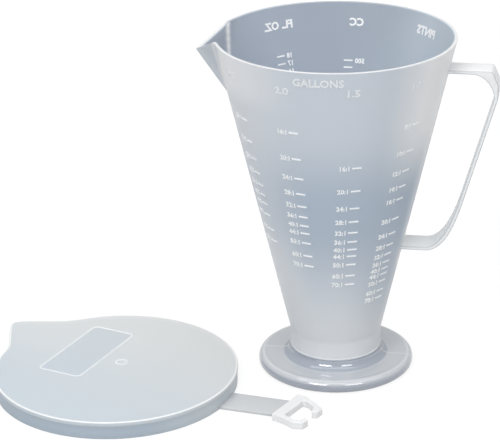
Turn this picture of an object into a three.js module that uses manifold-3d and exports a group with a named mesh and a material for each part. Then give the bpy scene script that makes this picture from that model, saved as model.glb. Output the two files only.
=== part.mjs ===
// Conical measuring cup with its lid lying beside it, in millimetres, +Z up.
// The cup is one moulding: foot, collar, cone, pinched spout, strap handle and raised scale marks.
// The lid is another: teardrop plate, skirt, flat tether strap and the clip that snaps on the handle.
import * as THREE from 'three';
import { mergeVertices } from 'three/addons/utils/BufferGeometryUtils.js';
import Module from 'manifold-3d';

const wasm = await Module();
wasm.setup();

// Cone, measured on its outside
const cupHeight = 169.5;
const rimRadius = 57.6;
const coneBaseHeight = 21.1;
const coneBaseRadius = 22.7;
const wall = 1.8;

// Foot and collar
const footRadius = 38.3;
const footHeight = 5.9;
const footEdgeRound = 2.8;
const footRingWidth = 2.4;
const coveOuterRadius = 26.8;
const collarBottomHeight = 10.3;
const collarBottomRadius = 22.5;
const collarNarrowing = 0.6;
const collarLip = 0.4;
const floorTopHeight = 8.8;
const floorRound = 1.2;
const hollowRound = 1.0;

// Spout: two flat sides that meet in a keel and dip below the rim
const spoutHalfAngle = 41.5;
const keelRadiusAtRim = 74.3;
const keelSlope = 0.71;
const spoutDip = 9.0;
const spoutBlend = 2.4;
const spoutReachAngle = 80;
const spoutRows = 8;

// Handle: a flat strap, a little wider at its lower end
const strapThickness = 1.8;
const handleTopWidth = 12.8;
const handleBottomWidth = 15.0;
const handleTopDrop = 13.2;
const handleBottomHeight = 64.9;
const handleCornerReach = 74.9;
const handleReach = 77.4;
const handleKneeDrop = 6.8;
const gripTopDrop = 13.5;
const gripBottomHeight = 92.0;
const gripLean = 16.3;
const handleCornerCut = 0.8;
const handleRootSink = 3.4;
const handleWebRadius = 10.5;
const lowerBendStart = 44.0;
const lowerBendPull = 9.0;
const lowerBendDrop = 16.0;
const quarterPull = 0.55;

// Raised scale marks, placed by the volume that the cup holds below them
const markLength = 4.6;
const markWidth = 0.75;
const markProud = 0.4;
const markSink = 0.9;
const fluidOunce = 29573.5;
const millilitre = 1000;
const mixColumnSpacing = 35;
const backColumnSpacing = 40;
const fullestMixMark = 16.2;

// Lid
const lidFit = 0.4;
const lidSkirtWall = 1.5;
const lidBandHeight = 1.8;
const lidBandProud = 0.35;
const lidPlate = 1.6;
const lidHeight = 8.8;
const lidCornerReach = 82.0;
const lidCornerRound = 4.5;
const lidRoundPieces = 56;
const lidCornerPieces = 8;
const lidX = -103.2;
const lidY = -39.3;
const lidTurn = 146;

// Bare raised frame and moulding gate on top of the lid
const frameLength = 53;
const frameWidth = 23;
const frameCorner = 2.5;
const beadWidth = 0.8;
const beadHeight = 0.3;
const frameOffsetX = -18.2;
const frameOffsetY = 15.0;
const frameTurn = 72;
const gateRadius = 3.1;
const gateOffsetX = 1.5;
const gateOffsetY = 5.1;
const gatePieces = 16;

// Tether strap and clip
const tetherWidth = 16;
const tetherThickness = 1.5;
const tetherLength = 29;
const tetherRootAngle = -13.6;
const tetherTurn = -9;
const clipHeight = 3.6;
const clipTurn = -14;
const clipBarLength = 24;
const clipBarDepth = 5.6;
const clipArm = 2.6;
const clipSlotWidth = 15.6;
const clipSlotDepth = 8.4;
const clipGap = 5.2;
const clipGapFlare = 0.5;
const clipShoulder = 3.6;
const clipSlotShoulder = 2.5;
const clipStep = 1.0;

// Values that follow from the ones above
const rad = THREE.MathUtils.degToRad;
const coneSlope = (rimRadius - coneBaseRadius) / (cupHeight - coneBaseHeight);
const coneWallAcross = wall * Math.hypot(1, coneSlope);
const collarTopRadius = coneBaseRadius - collarNarrowing;
const sumpRadius = collarTopRadius - wall;
const spoutNormalAngle = Math.PI / 2 - rad(spoutHalfAngle);
const sideSlope = keelSlope * Math.cos(spoutNormalAngle);
const sideWallAcross = wall * Math.hypot(1, sideSlope);
const spoutTopHeight = cupHeight - spoutDip;
const spoutRootHeight = cupHeight - (keelRadiusAtRim - rimRadius) / (keelSlope - coneSlope);
const handleTopHeight = cupHeight - handleTopDrop;
const handleKneeHeight = handleTopHeight - handleKneeDrop;
const gripTopHeight = handleTopHeight - gripTopDrop;
const cutClearance = 6;
const joinOverlap = 0.5;
const coneRadius = (height) => coneBaseRadius + coneSlope * (height - coneBaseHeight);

const cupPlastic = new THREE.MeshStandardMaterial({
  color: 0xd3d9de,
  roughness: 0.38,
  metalness: 0,
  transparent: true,
  opacity: 0.8,
});
const lidPlastic = new THREE.MeshStandardMaterial({
  color: 0xd6dbdf,
  roughness: 0.45,
  metalness: 0,
  transparent: true,
  opacity: 0.9,
});

// A closed triangle geometry as a solid
function solidOf(geometry) {
  const bare = geometry.clone();
  bare.deleteAttribute('normal');
  bare.deleteAttribute('uv');
  const merged = mergeVertices(bare, 1e-5);
  const mesh = new wasm.Mesh({
    numProp: 3,
    vertProperties: new Float32Array(merged.attributes.position.array),
    triVerts: new Uint32Array(merged.index.array),
  });
  return new wasm.Manifold(mesh);
}

// A finished solid as a geometry with flat faces
function geometryOf(solid) {
  const mesh = solid.getMesh();
  const geometry = new THREE.BufferGeometry();
  geometry.setAttribute('position', new THREE.BufferAttribute(mesh.vertProperties, 3));
  geometry.setIndex(new THREE.BufferAttribute(mesh.triVerts, 1));
  geometry.computeVertexNormals();
  return geometry;
}

function joined(solids) {
  return solids.reduce((sum, solid) => sum.add(solid));
}

// Directions round the cup: 6 degrees apart, and 3 degrees apart near the spout at 180 degrees
const columns = [];
for (let degrees = -144; degrees < 144; degrees += 6) columns.push(rad(degrees));
for (let degrees = 144; degrees < 216; degrees += 3) columns.push(rad(degrees));

// A solid whose surface is a stack of closed rows; a row gives height and radius for a direction
function stackedRows(rows) {
  const positions = [];
  const index = [];
  const count = columns.length;
  for (const row of rows) {
    for (const angle of columns) {
      const { height, radius } = row(angle);
      positions.push(radius * Math.cos(angle), radius * Math.sin(angle), height);
    }
  }
  for (let level = 0; level + 1 < rows.length; level += 1) {
    for (let side = 0; side < count; side += 1) {
      const low = level * count + side;
      const lowNext = level * count + ((side + 1) % count);
      index.push(low, lowNext, lowNext + count, low, lowNext + count, low + count);
    }
  }
  const bottomCentre = positions.length / 3;
  positions.push(0, 0, rows[0](0).height);
  const topCentre = bottomCentre + 1;
  positions.push(0, 0, rows[rows.length - 1](0).height);
  const lastRow = (rows.length - 1) * count;
  for (let side = 0; side < count; side += 1) {
    const next = (side + 1) % count;
    index.push(bottomCentre, next, side);
    index.push(topCentre, lastRow + side, lastRow + next);
  }
  const geometry = new THREE.BufferGeometry();
  geometry.setAttribute('position', new THREE.Float32BufferAttribute(positions, 3));
  geometry.setIndex(index);
  return solidOf(geometry);
}

const levelRow = (radius, height) => () => ({ height, radius });

// Angle away from the spout's middle, which lies at 180 degrees
function offSpout(angle) {
  return Math.abs(Math.PI - ((angle + 2 * Math.PI) % (2 * Math.PI)));
}

// The cone and the spout's flat side, blended where they meet; inset is the wall on the inside
function bodyRadius(angle, height, coneInset, sideInset) {
  const cone = coneRadius(height) - coneInset;
  const away = offSpout(angle);
  if (away > rad(spoutReachAngle)) return cone;
  const keel = keelRadiusAtRim - keelSlope * (cupHeight - height);
  const sideDistance = keel * Math.cos(spoutNormalAngle) - sideInset;
  const side = sideDistance / Math.cos(away - spoutNormalAngle);
  const overlap = Math.max(spoutBlend - Math.abs(side - cone), 0);
  return Math.max(cone, side) + overlap ** 2 / (4 * spoutBlend);
}

// The lip is level, apart from the two straight edges that run down to the tip of the spout
function lipHeight(angle) {
  const tipRadius = keelRadiusAtRim - keelSlope * spoutDip;
  const sideAtRim = keelRadiusAtRim * Math.cos(spoutNormalAngle);
  const cornerAngle = spoutNormalAngle - Math.acos(sideAtRim / rimRadius);
  const cornerForward = rimRadius * Math.cos(cornerAngle);
  const cornerAside = rimRadius * Math.sin(cornerAngle);
  const slope = Math.tan(Math.min(offSpout(angle), cornerAngle));
  const towardCorner = (slope * tipRadius) / (cornerAside + slope * (tipRadius - cornerForward));
  return spoutTopHeight + spoutDip * towardCorner;
}

// Shares of the cone's height at which it gets a row, close together where the spout is
function coneShares() {
  const spoutRoot = (spoutRootHeight - coneBaseHeight) / (cupHeight - coneBaseHeight);
  const shares = [0, spoutRoot / 2, spoutRoot];
  for (let row = 1; row <= spoutRows; row += 1) {
    shares.push(spoutRoot + ((1 - spoutRoot) * row) / spoutRows);
  }
  return shares;
}

// Quarter-round points from one radius and height to another, bulging out or hollowed in
function quarterRound(startRadius, startHeight, endRadius, endHeight, steps, hollow) {
  const rows = [];
  for (let step = 1; step < steps; step += 1) {
    const turn = (Math.PI / 2) * (step / steps);
    const along = hollow ? 1 - Math.cos(turn) : Math.sin(turn);
    const across = hollow ? Math.sin(turn) : 1 - Math.cos(turn);
    const radius = startRadius + (endRadius - startRadius) * across;
    rows.push(levelRow(radius, startHeight + (endHeight - startHeight) * along));
  }
  return rows;
}

function cupOutside() {
  const topRadius = footRadius - footEdgeRound;
  const coveTop = collarBottomHeight - collarLip;
  const quarterSteps = 4;
  const rows = [
    levelRow(footRadius, 0),
    levelRow(footRadius, footHeight - footEdgeRound),
    ...quarterRound(footRadius, footHeight - footEdgeRound, topRadius, footHeight, quarterSteps, false),
    levelRow(topRadius, footHeight),
    levelRow(coveOuterRadius, footHeight),
    ...quarterRound(coveOuterRadius, footHeight, collarTopRadius, coveTop, quarterSteps, true),
    levelRow(collarTopRadius, coveTop),
    levelRow(collarBottomRadius, collarBottomHeight),
    levelRow(collarTopRadius, coneBaseHeight - collarNarrowing),
  ];
  for (const share of coneShares()) {
    rows.push((angle) => {
      const height = coneBaseHeight + share * (lipHeight(angle) - coneBaseHeight);
      return { height, radius: bodyRadius(angle, height, 0, 0) };
    });
  }
  return stackedRows(rows);
}

// The space that holds the liquid, carried on above the lip so that it cuts the mouth open
function cupInside() {
  const rows = [
    levelRow(sumpRadius - floorRound, floorTopHeight),
    levelRow(sumpRadius, floorTopHeight + floorRound),
    levelRow(sumpRadius, coneBaseHeight - collarNarrowing),
  ];
  for (const share of coneShares()) {
    rows.push((angle) => {
      const height = coneBaseHeight + share * (lipHeight(angle) - coneBaseHeight);
      return { height, radius: bodyRadius(angle, height, coneWallAcross, sideWallAcross) };
    });
  }
  rows.push((angle) => {
    const height = lipHeight(angle) + cutClearance;
    return { height, radius: bodyRadius(angle, height, coneWallAcross, sideWallAcross) };
  });
  return stackedRows(rows);
}

// The foot is a shell: this is the hollow under it, open to the table
function footHollow() {
  const hollowRadius = footRadius - footRingWidth;
  const shelf = footHeight - wall;
  const ceiling = floorTopHeight - wall;
  return stackedRows([
    levelRow(hollowRadius, -cutClearance),
    levelRow(hollowRadius, shelf - hollowRound),
    levelRow(hollowRadius - hollowRound, shelf),
    levelRow(coveOuterRadius - wall, shelf),
    levelRow(sumpRadius, ceiling - hollowRound),
    levelRow(sumpRadius - hollowRound, ceiling),
  ]);
}

// Side view of the handle: level top arm, webbed corner, leaning grip, wide bend, level lower arm
function handleOutline() {
  const lean = Math.tan(rad(gripLean));
  const across = strapThickness / Math.cos(rad(gripLean));
  const gripBottomReach = handleReach - lean * (gripTopHeight - gripBottomHeight);
  const rootTop = coneRadius(handleTopHeight) - handleRootSink;
  const rootBottom = coneRadius(handleBottomHeight) - handleRootSink;
  const webReach = handleReach - across;
  const innerPull = lowerBendPull - strapThickness;
  const innerDrop = lowerBendDrop - strapThickness;
  const outline = new THREE.Shape();
  outline.moveTo(rootTop, handleTopHeight);
  outline.lineTo(handleCornerReach - handleCornerCut, handleTopHeight);
  outline.lineTo(handleCornerReach, handleTopHeight - handleCornerCut);
  outline.lineTo(handleReach, handleKneeHeight);
  outline.lineTo(handleReach, gripTopHeight);
  outline.lineTo(gripBottomReach, gripBottomHeight);
  outline.bezierCurveTo(
    gripBottomReach - lean * lowerBendDrop, gripBottomHeight - lowerBendDrop,
    lowerBendStart + lowerBendPull, handleBottomHeight,
    lowerBendStart, handleBottomHeight,
  );
  outline.lineTo(rootBottom, handleBottomHeight);
  outline.lineTo(rootBottom, handleBottomHeight + strapThickness);
  outline.lineTo(lowerBendStart, handleBottomHeight + strapThickness);
  outline.bezierCurveTo(
    lowerBendStart + innerPull, handleBottomHeight + strapThickness,
    gripBottomReach - across - lean * innerDrop, gripBottomHeight - innerDrop,
    gripBottomReach - across, gripBottomHeight,
  );
  outline.lineTo(webReach, gripTopHeight);
  outline.bezierCurveTo(
    webReach, gripTopHeight + quarterPull * handleWebRadius,
    webReach - (1 - quarterPull) * handleWebRadius, handleTopHeight - strapThickness,
    webReach - handleWebRadius, handleTopHeight - strapThickness,
  );
  outline.lineTo(rootTop, handleTopHeight - strapThickness);
  outline.closePath();
  return outline;
}

// The outline is stood up in the plane of the handle, then spread to the strap's width there
function handleSolid() {
  const geometry = new THREE.ExtrudeGeometry(handleOutline(), {
    depth: 1,
    steps: 1,
    bevelEnabled: false,
    curveSegments: 9,
  });
  geometry.translate(0, 0, -0.5);
  geometry.rotateX(Math.PI / 2);
  const position = geometry.attributes.position;
  const span = handleTopHeight - handleBottomHeight;
  for (let point = 0; point < position.count; point += 1) {
    const share = (position.getZ(point) - handleBottomHeight) / span;
    const width = THREE.MathUtils.lerp(handleBottomWidth, handleTopWidth, share);
    position.setY(point, position.getY(point) * width);
  }
  return solidOf(geometry);
}

// Height of the liquid's surface for a volume, from the sump's cylinder and the cone above it
function fillHeight(volume) {
  const sumpVolume = Math.PI * sumpRadius ** 2 * (coneBaseHeight - floorTopHeight);
  const insideBase = coneBaseRadius - coneWallAcross;
  const cubed = ((volume - sumpVolume) * 3 * coneSlope) / Math.PI + insideBase ** 3;
  return coneBaseHeight + (Math.cbrt(cubed) - insideBase) / coneSlope;
}

// One raised mark on the outside of the cone
function markSolid(degrees, height) {
  const box = new THREE.BoxGeometry(markProud + markSink, markLength, markWidth);
  box.translate((markProud - markSink) / 2, 0, 0);
  box.rotateY(Math.atan(coneSlope));
  box.translate(coneRadius(height), 0, height);
  box.rotateZ(rad(degrees));
  return solidOf(box);
}

// Oil-to-fuel ratios in four front columns, and plain volumes in three columns at the back
function scaleMarks() {
  const marks = [];
  const ratios = [8, 10, 12, 14, 16, 20, 24, 28, 32, 36, 40, 44, 50, 60, 70];
  const gallonColumns = [2.5, 2.0, 1.5, 1.0];
  gallonColumns.forEach((gallons, place) => {
    const degrees = -140 + place * mixColumnSpacing;
    for (const ratio of ratios) {
      const ounces = (gallons * 128) / ratio;
      if (ounces > fullestMixMark || (gallons > 1 && ratio < 16)) continue;
      marks.push(markSolid(degrees, fillHeight(ounces * fluidOunce)));
    }
  });
  const middleColumn = 90;
  for (let ounces = 1; ounces <= 18; ounces += 1) {
    marks.push(markSolid(middleColumn + backColumnSpacing, fillHeight(ounces * fluidOunce)));
  }
  for (let volume = 25; volume <= 500; volume += 25) {
    marks.push(markSolid(middleColumn, fillHeight(volume * millilitre)));
  }
  for (let quarter = 1; quarter <= 4; quarter += 1) {
    marks.push(markSolid(middleColumn - backColumnSpacing, fillHeight(quarter * 4 * fluidOunce)));
  }
  return marks;
}

function makeCup() {
  const outside = joined([cupOutside(), handleSolid(), ...scaleMarks()]);
  const body = outside.subtract(cupInside()).subtract(footHollow());
  const mesh = new THREE.Mesh(geometryOf(body), cupPlastic);
  mesh.name = 'cup';
  return mesh;
}

// Teardrop: a circle and the two lines that touch it and meet in a rounded corner over the spout
function teardrop(radius, reach, cornerRound) {
  const touch = Math.acos(radius / reach);
  const tipCentre = reach - cornerRound / Math.cos(touch);
  const round = new THREE.ArcCurve(0, 0, radius, touch, 2 * Math.PI - touch, false);
  const tip = new THREE.ArcCurve(tipCentre, 0, cornerRound, -touch, touch, false);
  return new THREE.Shape([...round.getPoints(lidRoundPieces), ...tip.getPoints(lidCornerPieces)]);
}

function slab(outline, bottom, top, curveSegments = 4) {
  const geometry = new THREE.ExtrudeGeometry(outline, {
    depth: top - bottom,
    steps: 1,
    bevelEnabled: false,
    curveSegments,
  });
  geometry.translate(0, 0, bottom);
  return geometry;
}

// Plate and skirt, with the slightly prouder band round the top
function lidShell() {
  const skirtRadius = rimRadius + lidFit + lidSkirtWall;
  const bandRadius = skirtRadius + lidBandProud;
  const bandBottom = lidHeight - lidBandHeight;
  const bandReach = lidCornerReach + lidBandProud;
  const hollowReach = lidCornerReach - lidSkirtWall;
  const skirtOutline = teardrop(skirtRadius, lidCornerReach, lidCornerRound);
  const skirt = slab(skirtOutline, 0, bandBottom + joinOverlap);
  const bandOutline = teardrop(bandRadius, bandReach, lidCornerRound + lidBandProud);
  const band = slab(bandOutline, bandBottom, lidHeight);
  const hollowOutline = teardrop(skirtRadius - lidSkirtWall, hollowReach, lidCornerRound - lidSkirtWall);
  const hollow = slab(hollowOutline, -cutClearance, lidHeight - lidPlate);
  return solidOf(skirt).add(solidOf(band)).subtract(solidOf(hollow));
}

function roundedRectangle(length, width, corner) {
  const halfLength = length / 2 - corner;
  const halfWidth = width / 2 - corner;
  const outline = new THREE.Shape();
  outline.absarc(halfLength, halfWidth, corner, 0, Math.PI / 2, false);
  outline.absarc(-halfLength, halfWidth, corner, Math.PI / 2, Math.PI, false);
  outline.absarc(-halfLength, -halfWidth, corner, Math.PI, 1.5 * Math.PI, false);
  outline.absarc(halfLength, -halfWidth, corner, 1.5 * Math.PI, 2 * Math.PI, false);
  outline.closePath();
  return outline;
}

// Thin raised frame, left bare inside
function frameBead() {
  const outline = roundedRectangle(frameLength, frameWidth, frameCorner);
  const inner = roundedRectangle(
    frameLength - 2 * beadWidth,
    frameWidth - 2 * beadWidth,
    frameCorner - beadWidth,
  );
  outline.holes.push(inner);
  const bead = slab(outline, lidHeight - beadHeight, lidHeight + beadHeight);
  bead.rotateZ(rad(frameTurn));
  bead.translate(frameOffsetX, frameOffsetY, 0);
  return solidOf(bead);
}

// Ring left by the moulding gate near the middle
function gateRing() {
  const outline = new THREE.Shape();
  outline.absarc(0, 0, gateRadius, 0, 2 * Math.PI, false);
  const hole = new THREE.Path();
  hole.absarc(0, 0, gateRadius - beadWidth, 0, 2 * Math.PI, true);
  outline.holes.push(hole);
  const ring = slab(outline, lidHeight - beadHeight, lidHeight + beadHeight, gatePieces);
  ring.translate(gateOffsetX, gateOffsetY, 0);
  return solidOf(ring);
}

// Flat strap from the skirt's lower edge to the clip, running along +X from its root
function tetherSolid() {
  const rootSink = lidSkirtWall - joinOverlap;
  const length = rootSink + tetherLength + joinOverlap;
  const strap = new THREE.BoxGeometry(length, tetherWidth, tetherThickness);
  strap.translate(length / 2 - rootSink, 0, tetherThickness / 2);
  return solidOf(strap);
}

// The C-shaped clip: bar, chamfered shoulders and two hooked jaws with a gap between their tips
function clipSolid() {
  const slotEnd = clipBarDepth + clipSlotDepth;
  const reach = slotEnd + clipArm;
  const halfBar = clipBarLength / 2;
  const halfSlot = clipSlotWidth / 2;
  const halfGap = clipGap / 2;
  const halfSpan = halfSlot + clipArm;
  const outer = new THREE.Shape();
  outer.moveTo(0, -halfBar);
  outer.lineTo(clipBarDepth, -halfBar);
  outer.lineTo(clipBarDepth + clipStep, -halfSpan);
  outer.lineTo(reach - clipShoulder, -halfSpan);
  outer.lineTo(reach, -halfSpan + clipShoulder);
  outer.lineTo(reach, halfSpan - clipShoulder);
  outer.lineTo(reach - clipShoulder, halfSpan);
  outer.lineTo(clipBarDepth + clipStep, halfSpan);
  outer.lineTo(clipBarDepth, halfBar);
  outer.lineTo(0, halfBar);
  outer.closePath();
  const slot = new THREE.Shape();
  slot.moveTo(clipBarDepth, -halfSlot);
  slot.lineTo(slotEnd - clipSlotShoulder, -halfSlot);
  slot.lineTo(slotEnd, -halfSlot + clipSlotShoulder);
  slot.lineTo(slotEnd, -halfGap);
  slot.lineTo(reach + clipStep, -halfGap - clipGapFlare);
  slot.lineTo(reach + clipStep, halfGap + clipGapFlare);
  slot.lineTo(slotEnd, halfGap);
  slot.lineTo(slotEnd, halfSlot - clipSlotShoulder);
  slot.lineTo(slotEnd - clipSlotShoulder, halfSlot);
  slot.lineTo(clipBarDepth, halfSlot);
  slot.closePath();
  const body = slab(outer, 0, clipHeight);
  const opening = slab(slot, -cutClearance, clipHeight + cutClearance);
  const clip = solidOf(body).subtract(solidOf(opening));
  return clip.rotate([0, 0, clipTurn]).translate([tetherLength, 0, 0]);
}

function makeLid() {
  const skirtRadius = rimRadius + lidFit + lidSkirtWall;
  const rootX = skirtRadius * Math.cos(rad(tetherRootAngle));
  const rootY = skirtRadius * Math.sin(rad(tetherRootAngle));
  const tether = tetherSolid().add(clipSolid());
  const placedTether = tether.rotate([0, 0, tetherTurn]).translate([rootX, rootY, 0]);
  const shell = lidShell().rotate([0, 0, lidTurn]);
  const lid = joined([shell, placedTether, frameBead(), gateRing()]);
  const mesh = new THREE.Mesh(geometryOf(lid), lidPlastic);
  mesh.name = 'lid';
  mesh.position.set(lidX, lidY, 0);
  return mesh;
}

// The origin is the middle of the ground that the cup and its lid cover together
const measuringCup = new THREE.Group();
measuringCup.add(makeCup(), makeLid());
const extent = new THREE.Box3().setFromObject(measuringCup, true);
const middle = extent.getCenter(new THREE.Vector3());
measuringCup.position.set(-middle.x, -middle.y, -extent.min.z);
measuringCup.updateMatrixWorld(true);

export default measuringCup;
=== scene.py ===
# %% [markdown]
# # A translucent measuring cup and its lid
#
# The cup is one moulding of milky polypropylene: a tall cone on a hollow round foot, with a
# pinched spout, a strap handle and a raised scale. Its lid lies beside it, with a flat strap and
# a clip. The packed model is loaded first and stays as the fixed frame. Everything below is
# fitted to it.

# %% Load the frame
import math

import bpy
import numpy as np
from mathutils import Matrix, Vector


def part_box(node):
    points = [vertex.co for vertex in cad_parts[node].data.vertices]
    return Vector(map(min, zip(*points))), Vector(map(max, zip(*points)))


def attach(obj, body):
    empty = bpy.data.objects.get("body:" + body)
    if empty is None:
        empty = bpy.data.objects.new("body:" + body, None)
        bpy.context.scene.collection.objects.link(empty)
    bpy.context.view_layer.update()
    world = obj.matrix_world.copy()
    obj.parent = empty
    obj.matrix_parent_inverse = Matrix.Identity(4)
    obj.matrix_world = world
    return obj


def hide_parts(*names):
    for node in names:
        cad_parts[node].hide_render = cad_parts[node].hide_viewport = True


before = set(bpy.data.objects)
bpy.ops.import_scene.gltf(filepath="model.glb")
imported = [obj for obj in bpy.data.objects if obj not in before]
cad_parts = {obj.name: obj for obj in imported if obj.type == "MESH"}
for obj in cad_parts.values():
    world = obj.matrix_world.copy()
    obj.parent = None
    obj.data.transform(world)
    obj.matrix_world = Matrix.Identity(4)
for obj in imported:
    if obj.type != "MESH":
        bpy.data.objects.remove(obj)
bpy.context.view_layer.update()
MM = 0.001

# %% [markdown]
# ## Camera
#
# A long lens about a metre away looks down on the cup by 22 degrees. It could be placed by hand
# and nudged, but a matrix made of its own right, up and backward directions says exactly how it is
# held: the bearing and the fall give the line of sight, and the roll turns the picture about it.

# %% Make the camera
CAMERA_AT = (0.17312, -0.93959, 0.47228)
BEARING, FALL, ROLL = 99.963, 22.278, -1.008
FOCAL_LENGTH, SENSOR_WIDTH = 154.63, 36.0
NEAR, FAR = 0.05, 20.0


def linked(name, data):
    """A new object for that data, linked to the scene."""
    made = bpy.data.objects.new(name, data)
    bpy.context.scene.collection.objects.link(made)
    return made


def camera_matrix(place, bearing, fall, roll):
    """Columns are right, up and backward. Bearing is the heading of the line of sight from +X,
    fall is how far it drops below level, and roll turns right and up about it, all in degrees."""
    b, f, t = (math.radians(v) for v in (bearing, fall, roll))
    sight = Vector((math.cos(b) * math.cos(f), math.sin(b) * math.cos(f), -math.sin(f)))
    level = Vector((math.sin(b), -math.cos(b), 0))
    over = level.cross(sight)
    right = level * math.cos(t) + over * math.sin(t)
    up = over * math.cos(t) - level * math.sin(t)
    matrix = Matrix((right, up, -sight)).transposed().to_4x4()
    matrix.translation = Vector(place)
    return matrix


lens = bpy.data.cameras.new("camera")
lens.sensor_fit = "HORIZONTAL"
lens.sensor_width, lens.lens = SENSOR_WIDTH, FOCAL_LENGTH
lens.clip_start, lens.clip_end = NEAR, FAR
camera = linked("camera", lens)
camera.matrix_world = camera_matrix(CAMERA_AT, BEARING, FALL, ROLL)
bpy.context.scene.camera = camera
print("camera at", tuple(round(v, 3) for v in camera.location), "lens", lens.lens)

# %% [markdown]
# ## Shader maths as Python
#
# A material is a graph of nodes. Linking dozens of Math nodes by hand hides what they work out, so
# a small class wraps a socket and overloads the operators: `1 - mask * 0.4` adds its two Math
# nodes. Every other node comes from one method that takes its type, its settings and its sockets.

# %% A wrapped socket
class Wire:
    """One output socket. Arithmetic on it adds Math nodes to its tree and gives a new wire."""

    def __init__(self, paint, socket):
        self.paint = paint
        self.socket = socket

    def __add__(self, other):
        return self.paint.maths("ADD", self, other)

    def __sub__(self, other):
        return self.paint.maths("SUBTRACT", self, other)

    def __rsub__(self, other):
        return self.paint.maths("SUBTRACT", other, self)

    def __mul__(self, other):
        return self.paint.maths("MULTIPLY", self, other)

    def __truediv__(self, other):
        return self.paint.maths("DIVIDE", self, other)

    def __abs__(self):
        return self.paint.maths("ABSOLUTE", self)

    __radd__ = __add__
    __rmul__ = __mul__

    def larger(self, other):
        return self.paint.maths("MAXIMUM", self, other)

    def ramp(self, low, high):
        """0 below low and 1 above high, eased in between."""
        ends = {"Value": self, "From Min": low, "From Max": high}
        return self.paint.node("ShaderNodeMapRange", {"interpolation_type": "SMOOTHSTEP"}, ends)

    def band(self, start, full, fade, end):
        """0 outside start to end and 1 from full to fade, eased in between."""
        return self.ramp(start, full) * (1 - self.ramp(fade, end))

    def near(self, full, end):
        """1 nearer to zero than full, on either side, and 0 beyond end."""
        return 1 - abs(self).ramp(full, end)


print("a wire's own functions:", [name for name in vars(Wire) if not name.startswith("_")])

# %% A builder for node trees
PLASTIC_IOR = 1.49


class Paint:
    """The node tree of a material or a world, filled one call at a time."""

    def __init__(self, owner):
        self.owner = owner
        owner.use_nodes = True
        self.tree = owner.node_tree
        self.tree.nodes.clear()

    def node(self, kind, settings, inputs, output=0):
        made = self.tree.nodes.new(kind)
        for setting, value in settings.items():
            setattr(made, setting, value)
        for key, value in inputs.items():
            socket = made.inputs[key]
            if isinstance(value, Wire):
                self.tree.links.new(value.socket, socket)
            else:
                socket.default_value = value
        return Wire(self, made.outputs[output])

    def maths(self, operation, *terms):
        return self.node("ShaderNodeMath", {"operation": operation}, dict(enumerate(terms)))

    def place(self, shift=(0, 0, 0)):
        """Object coordinates, moved by shift."""
        at = self.node("ShaderNodeTexCoord", {}, {}, "Object")
        return self.node("ShaderNodeMapping", {}, {"Vector": at, "Location": shift})

    def axes(self, vector):
        """The three numbers of a vector, as three wires."""
        return [self.node("ShaderNodeSeparateXYZ", {}, {"Vector": vector}, axis) for axis in "XYZ"]

    def noise(self, vector, scale, detail):
        sockets = {"Vector": vector, "Scale": scale, "Detail": detail}
        return self.node("ShaderNodeTexNoise", {}, sockets)

    def attribute(self, name):
        return self.node("ShaderNodeAttribute", {"attribute_name": name}, {}, "Fac")

    def blend(self, factor, first, second):
        """Colour first where the factor is 0 and second where it is 1."""
        sockets = {0: factor, 6: first, 7: second}
        return self.node("ShaderNodeMix", {"data_type": "RGBA"}, sockets, 2)

    def rays(self, first, *others):
        """1 for a ray of any of these kinds, such as Is Camera Ray, and 0 for all others."""
        found = self.node("ShaderNodeLightPath", {}, {}, first)
        for name in others:
            found = found.larger(self.node("ShaderNodeLightPath", {}, {}, name))
        return found

    def finish(self, surface, kind="ShaderNodeOutputMaterial"):
        target = self.tree.nodes.new(kind)
        self.tree.links.new(surface.socket, target.inputs["Surface"])
        return self.owner

    def finish_plastic(self, colour, alpha, roughness, others=None):
        """The Principled shader of a plastic, joined to the output."""
        sockets = {"Base Color": colour, "Alpha": alpha, "Roughness": roughness,
                   "IOR": PLASTIC_IOR, **(others or {})}
        return self.finish(self.node("ShaderNodeBsdfPrincipled", {}, sockets))


def painted(name):
    return Paint(bpy.data.materials.new(name))


def seen(red, green, blue):
    """A colour as the eye reads it on a screen, 0 to 255, as the linear colour for a shader."""
    share = np.array([red, green, blue]) / 255.0
    linear = np.where(share <= 0.04045, share / 12.92, ((share + 0.055) / 1.055) ** 2.4)
    return (*linear.tolist(), 1.0)


print("a mid grey as seen, in linear light:", [round(v, 3) for v in seen(128, 128, 128)])

# %% [markdown]
# ## Floor and light
#
# The cup stands on a plain white floor that runs into a white world. The floor shows the camera
# mostly its own white and only a part of the lit surface, so the background stays clean and the
# shadow stays soft. A wide panel overhead and the pale world give even light. Two small panels in
# front, the left one stronger, give the paired highlights on the foot.

# %% Floor and world
FLOOR_HALF, FLOOR_LEVEL = 6.0, -0.0002
FLOOR_GREY, FLOOR_OWN_LIGHT, FLOOR_SHOWN_WHITE = 0.6, 1.22, 0.7
WORLD_TINT, WORLD_STRENGTH = (0.98, 0.99, 1.0, 1), 0.52
WHITE = (1, 1, 1, 1)


def flat_square(name, half, height):
    """A level square of that half width, in metres, centred under the object."""
    corners = np.array([(-1, -1), (1, -1), (1, 1), (-1, 1)]) * half
    mesh = bpy.data.meshes.new(name)
    mesh.from_pydata(np.column_stack([corners, np.full(4, height)]), [], [(0, 1, 2, 3)])
    return linked(name, mesh)


def white_floor():
    """A share of its own white where it is seen, so that only the rest shows light and shadow."""
    paint = painted("floor_white")
    watched = paint.rays("Is Camera Ray", "Is Glossy Ray", "Is Transmission Ray")
    grey = (FLOOR_GREY, FLOOR_GREY, FLOOR_GREY, 1)
    lit = paint.node("ShaderNodeBsdfDiffuse", {}, {"Color": grey})
    plain = paint.node("ShaderNodeEmission", {}, {"Color": WHITE, "Strength": FLOOR_OWN_LIGHT})
    shares = {0: watched * FLOOR_SHOWN_WHITE, 1: lit, 2: plain}
    return paint.finish(paint.node("ShaderNodeMixShader", {}, shares))


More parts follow.
